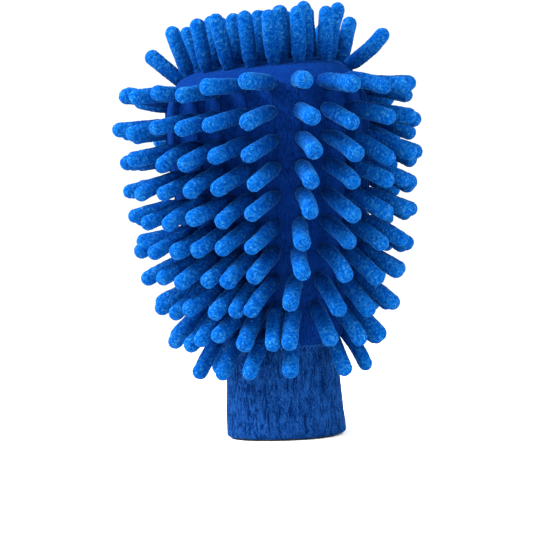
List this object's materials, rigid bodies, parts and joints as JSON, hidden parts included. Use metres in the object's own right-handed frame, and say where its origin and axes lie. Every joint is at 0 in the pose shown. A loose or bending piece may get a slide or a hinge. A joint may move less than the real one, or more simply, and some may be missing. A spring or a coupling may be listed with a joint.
{
  "type": "chenille wash mitt",
  "caption": "Pull-on wash mitt of blue chenille noodles on a domed fabric bag, with a lining inside and a folded rib-knit cuff at the wrist.",
  "frame": {"origin": "centre of the wrist opening, in the plane of the cuff's hem", "axes": "+Z from the hem up the hand to the fingertips, +X across the palm, -Y out of the palm side (the face seen in the picture)"},
  "size_m": [0.1746, 0.124, 0.2386],
  "materials": {
    "chenille": "matt, deep microfibre chenille pile",
    "backing": "matt, short-napped microfibre",
    "rib_knit": "matt, crinkled elastic rib knit",
    "lining": "matt, fine plain mesh",
    "thread": "matt, overlocked polyester thread"
  },
  "bodies": {
    "bag": {"front_panel": "backing", "back_panel": "backing", "front_lining": "lining", "back_lining": "lining", "bag_seam": "thread", "lining_seam": "thread", "rib_cuff": "rib_knit", "cuff_seam": "thread"},
    "front_noodles_01": {"front_noodles_01": "chenille"},
    "front_noodles_02": {"front_noodles_02": "chenille"},
    "front_noodles_03": {"front_noodles_03": "chenille"},
    "front_noodles_04": {"front_noodles_04": "chenille"},
    "front_noodles_05": {"front_noodles_05": "chenille"},
    "front_noodles_06": {"front_noodles_06": "chenille"},
    "front_noodles_07": {"front_noodles_07": "chenille"},
    "front_noodles_08": {"front_noodles_08": "chenille"},
    "front_noodles_09": {"front_noodles_09": "chenille"},
    "front_noodles_10": {"front_noodles_10": "chenille"},
    "front_noodles_11": {"front_noodles_11": "chenille"},
    "front_outer_crown": {"front_outer_crown": "chenille"},
    "front_inner_crown": {"front_inner_crown": "chenille"},
    "back_noodles_01": {"back_noodles_01": "chenille"},
    "back_noodles_02": {"back_noodles_02": "chenille"},
    "back_noodles_03": {"back_noodles_03": "chenille"},
    "back_noodles_04": {"back_noodles_04": "chenille"},
    "back_noodles_05": {"back_noodles_05": "chenille"},
    "back_noodles_06": {"back_noodles_06": "chenille"},
    "back_noodles_07": {"back_noodles_07": "chenille"},
    "back_noodles_08": {"back_noodles_08": "chenille"},
    "back_noodles_09": {"back_noodles_09": "chenille"},
    "back_noodles_10": {"back_noodles_10": "chenille"},
    "back_noodles_11": {"back_noodles_11": "chenille"},
    "back_outer_crown": {"back_outer_crown": "chenille"},
    "back_inner_crown": {"back_inner_crown": "chenille"},
    "left_corner_noodles": {"left_corner_noodles": "chenille"},
    "right_corner_noodles": {"right_corner_noodles": "chenille"}
  },
  "joints": [
    {"name": "front_noodles_01_sway", "type": "hinge", "parent": "bag", "child": "front_noodles_01", "pos_m": [0.0538, -0.00642, 0.13127], "axis": [0.132, -0.025, 0.9909], "range_deg": [-12, 12], "stiffness_Nm_per_rad": 0.01},
    {"name": "front_noodles_02_sway", "type": "hinge", "parent": "bag", "child": "front_noodles_02", "pos_m": [0.04777, -0.01902, 0.12383], "axis": [0.149, -0.0526, 0.9874], "range_deg": [-12, 12], "stiffness_Nm_per_rad": 0.01},
    {"name": "front_noodles_03_sway", "type": "hinge", "parent": "bag", "child": "front_noodles_03", "pos_m": [0.03839, -0.02832, 0.13135], "axis": [0.1133, -0.0488, 0.9924], "range_deg": [-12, 12], "stiffness_Nm_per_rad": 0.01},
    {"name": "front_noodles_04_sway", "type": "hinge", "parent": "bag", "child": "front_noodles_04", "pos_m": [0.02445, -0.03155, 0.12398], "axis": [0.1047, -0.0592, 0.9927], "range_deg": [-12, 12], "stiffness_Nm_per_rad": 0.01},
    {"name": "front_noodles_05_sway", "type": "hinge", "parent": "bag", "child": "front_noodles_05", "pos_m": [0.01254, -0.03354, 0.13144], "axis": [0.0584, -0.0487, 0.9971], "range_deg": [-12, 12], "stiffness_Nm_per_rad": 0.01},
    {"name": "front_noodles_06_sway", "type": "hinge", "parent": "bag", "child": "front_noodles_06", "pos_m": [0, -0.03309, 0.12402], "axis": [0, -0.0593, 0.9982], "range_deg": [-12, 12], "stiffness_Nm_per_rad": 0.01},
    {"name": "front_noodles_07_sway", "type": "hinge", "parent": "bag", "child": "front_noodles_07", "pos_m": [-0.01254, -0.03354, 0.13144], "axis": [-0.0584, -0.0487, 0.9971], "range_deg": [-12, 12], "stiffness_Nm_per_rad": 0.01},
    {"name": "front_noodles_08_sway", "type": "hinge", "parent": "bag", "child": "front_noodles_08", "pos_m": [-0.02445, -0.03155, 0.12398], "axis": [-0.1047, -0.0592, 0.9927], "range_deg": [-12, 12], "stiffness_Nm_per_rad": 0.01},
    {"name": "front_noodles_09_sway", "type": "hinge", "parent": "bag", "child": "front_noodles_09", "pos_m": [-0.03839, -0.02832, 0.13135], "axis": [-0.1133, -0.0488, 0.9924], "range_deg": [-12, 12], "stiffness_Nm_per_rad": 0.01},
    {"name": "front_noodles_10_sway", "type": "hinge", "parent": "bag", "child": "front_noodles_10", "pos_m": [-0.04777, -0.01902, 0.12383], "axis": [-0.149, -0.0526, 0.9874], "range_deg": [-12, 12], "stiffness_Nm_per_rad": 0.01},
    {"name": "front_noodles_11_sway", "type": "hinge", "parent": "bag", "child": "front_noodles_11", "pos_m": [-0.0538, -0.00642, 0.13127], "axis": [-0.132, -0.025, 0.9909], "range_deg": [-12, 12], "stiffness_Nm_per_rad": 0.01},
    {"name": "front_outer_crown_nod", "type": "hinge", "parent": "bag", "child": "front_outer_crown", "pos_m": [0, -0.01978, 0.20595], "axis": [1, 0, 0], "range_deg": [-12, 12], "stiffness_Nm_per_rad": 0.01},
    {"name": "front_inner_crown_nod", "type": "hinge", "parent": "bag", "child": "front_inner_crown", "pos_m": [0, -0.0055, 0.21007], "axis": [1, 0, 0], "range_deg": [-12, 12], "stiffness_Nm_per_rad": 0.01},
    {"name": "back_noodles_01_sway", "type": "hinge", "parent": "bag", "child": "back_noodles_01", "pos_m": [0.0538, 0.00642, 0.13127], "axis": [0.132, 0.025, 0.9909], "range_deg": [-12, 12], "stiffness_Nm_per_rad": 0.01},
    {"name": "back_noodles_02_sway", "type": "hinge", "parent": "bag", "child": "back_noodles_02", "pos_m": [0.04777, 0.01902, 0.12383], "axis": [0.149, 0.0526, 0.9874], "range_deg": [-12, 12], "stiffness_Nm_per_rad": 0.01},
    {"name": "back_noodles_03_sway", "type": "hinge", "parent": "bag", "child": "back_noodles_03", "pos_m": [0.03839, 0.02832, 0.13135], "axis": [0.1133, 0.0488, 0.9924], "range_deg": [-12, 12], "stiffness_Nm_per_rad": 0.01},
    {"name": "back_noodles_04_sway", "type": "hinge", "parent": "bag", "child": "back_noodles_04", "pos_m": [0.02445, 0.03155, 0.12398], "axis": [0.1047, 0.0592, 0.9927], "range_deg": [-12, 12], "stiffness_Nm_per_rad": 0.01},
    {"name": "back_noodles_05_sway", "type": "hinge", "parent": "bag", "child": "back_noodles_05", "pos_m": [0.01254, 0.03354, 0.13144], "axis": [0.0584, 0.0487, 0.9971], "range_deg": [-12, 12], "stiffness_Nm_per_rad": 0.01},
    {"name": "back_noodles_06_sway", "type": "hinge", "parent": "bag", "child": "back_noodles_06", "pos_m": [0, 0.03309, 0.12402], "axis": [0, 0.0593, 0.9982], "range_deg": [-12, 12], "stiffness_Nm_per_rad": 0.01},
    {"name": "back_noodles_07_sway", "type": "hinge", "parent": "bag", "child": "back_noodles_07", "pos_m": [-0.01254, 0.03354, 0.13144], "axis": [-0.0584, 0.0487, 0.9971], "range_deg": [-12, 12], "stiffness_Nm_per_rad": 0.01},
    {"name": "back_noodles_08_sway", "type": "hinge", "parent": "bag", "child": "back_noodles_08", "pos_m": [-0.02445, 0.03155, 0.12398], "axis": [-0.1047, 0.0592, 0.9927], "range_deg": [-12, 12], "stiffness_Nm_per_rad": 0.01},
    {"name": "back_noodles_09_sway", "type": "hinge", "parent": "bag", "child": "back_noodles_09", "pos_m": [-0.03839, 0.02832, 0.13135], "axis": [-0.1133, 0.0488, 0.9924], "range_deg": [-12, 12], "stiffness_Nm_per_rad": 0.01},
    {"name": "back_noodles_10_sway", "type": "hinge", "parent": "bag", "child": "back_noodles_10", "pos_m": [-0.04777, 0.01902, 0.12383], "axis": [-0.149, 0.0526, 0.9874], "range_deg": [-12, 12], "stiffness_Nm_per_rad": 0.01},
    {"name": "back_noodles_11_sway", "type": "hinge", "parent": "bag", "child": "back_noodles_11", "pos_m": [-0.0538, 0.00642, 0.13127], "axis": [-0.132, 0.025, 0.9909], "range_deg": [-12, 12], "stiffness_Nm_per_rad": 0.01},
    {"name": "back_outer_crown_nod", "type": "hinge", "parent": "bag", "child": "back_outer_crown", "pos_m": [0, 0.01978, 0.20595], "axis": [1, 0, 0], "range_deg": [-12, 12], "stiffness_Nm_per_rad": 0.01},
    {"name": "back_inner_crown_nod", "type": "hinge", "parent": "bag", "child": "back_inner_crown", "pos_m": [0, 0.0055, 0.21007], "axis": [1, 0, 0], "range_deg": [-12, 12], "stiffness_Nm_per_rad": 0.01},
    {"name": "left_corner_noodles_sway", "type": "hinge", "parent": "bag", "child": "left_corner_noodles", "pos_m": [-0.04451, 0, 0.20576], "axis": [0.8895, 0, 0.457], "range_deg": [-12, 12], "stiffness_Nm_per_rad": 0.01},
    {"name": "right_corner_noodles_sway", "type": "hinge", "parent": "bag", "child": "right_corner_noodles", "pos_m": [0.04451, 0, 0.20576], "axis": [0.8895, 0, -0.457], "range_deg": [-12, 12], "stiffness_Nm_per_rad": 0.01}
  ],
  "couplings": [
    {"joint": "front_noodles_01_sway", "follows": "front_noodles_06_sway", "ratio": 0.5},
    {"joint": "front_noodles_02_sway", "follows": "front_noodles_06_sway", "ratio": 1},
    {"joint": "front_noodles_03_sway", "follows": "front_noodles_06_sway", "ratio": 1},
    {"joint": "front_noodles_04_sway", "follows": "front_noodles_06_sway", "ratio": 1},
    {"joint": "front_noodles_05_sway", "follows": "front_noodles_06_sway", "ratio": 1},
    {"joint": "front_noodles_07_sway", "follows": "front_noodles_06_sway", "ratio": 1},
    {"joint": "front_noodles_08_sway", "follows": "front_noodles_06_sway", "ratio": 1},
    {"joint": "front_noodles_09_sway", "follows": "front_noodles_06_sway", "ratio": 1},
    {"joint": "front_noodles_10_sway", "follows": "front_noodles_06_sway", "ratio": 1},
    {"joint": "front_noodles_11_sway", "follows": "front_noodles_06_sway", "ratio": 0.5},
    {"joint": "front_inner_crown_nod", "follows": "front_outer_crown_nod", "ratio": 1},
    {"joint": "back_noodles_01_sway", "follows": "back_noodles_06_sway", "ratio": 0.5},
    {"joint": "back_noodles_02_sway", "follows": "back_noodles_06_sway", "ratio": 1},
    {"joint": "back_noodles_03_sway", "follows": "back_noodles_06_sway", "ratio": 1},
    {"joint": "back_noodles_04_sway", "follows": "back_noodles_06_sway", "ratio": 1},
    {"joint": "back_noodles_05_sway", "follows": "back_noodles_06_sway", "ratio": 1},
    {"joint": "back_noodles_07_sway", "follows": "back_noodles_06_sway", "ratio": 1},
    {"joint": "back_noodles_08_sway", "follows": "back_noodles_06_sway", "ratio": 1},
    {"joint": "back_noodles_09_sway", "follows": "back_noodles_06_sway", "ratio": 1},
    {"joint": "back_noodles_10_sway", "follows": "back_noodles_06_sway", "ratio": 1},
    {"joint": "back_noodles_11_sway", "follows": "back_noodles_06_sway", "ratio": 0.5},
    {"joint": "back_outer_crown_nod", "follows": "front_outer_crown_nod", "ratio": 1},
    {"joint": "back_inner_crown_nod", "follows": "front_outer_crown_nod", "ratio": 1},
    {"joint": "left_corner_noodles_sway", "follows": "front_outer_crown_nod", "ratio": 1},
    {"joint": "right_corner_noodles_sway", "follows": "front_outer_crown_nod", "ratio": 1}
  ]
}
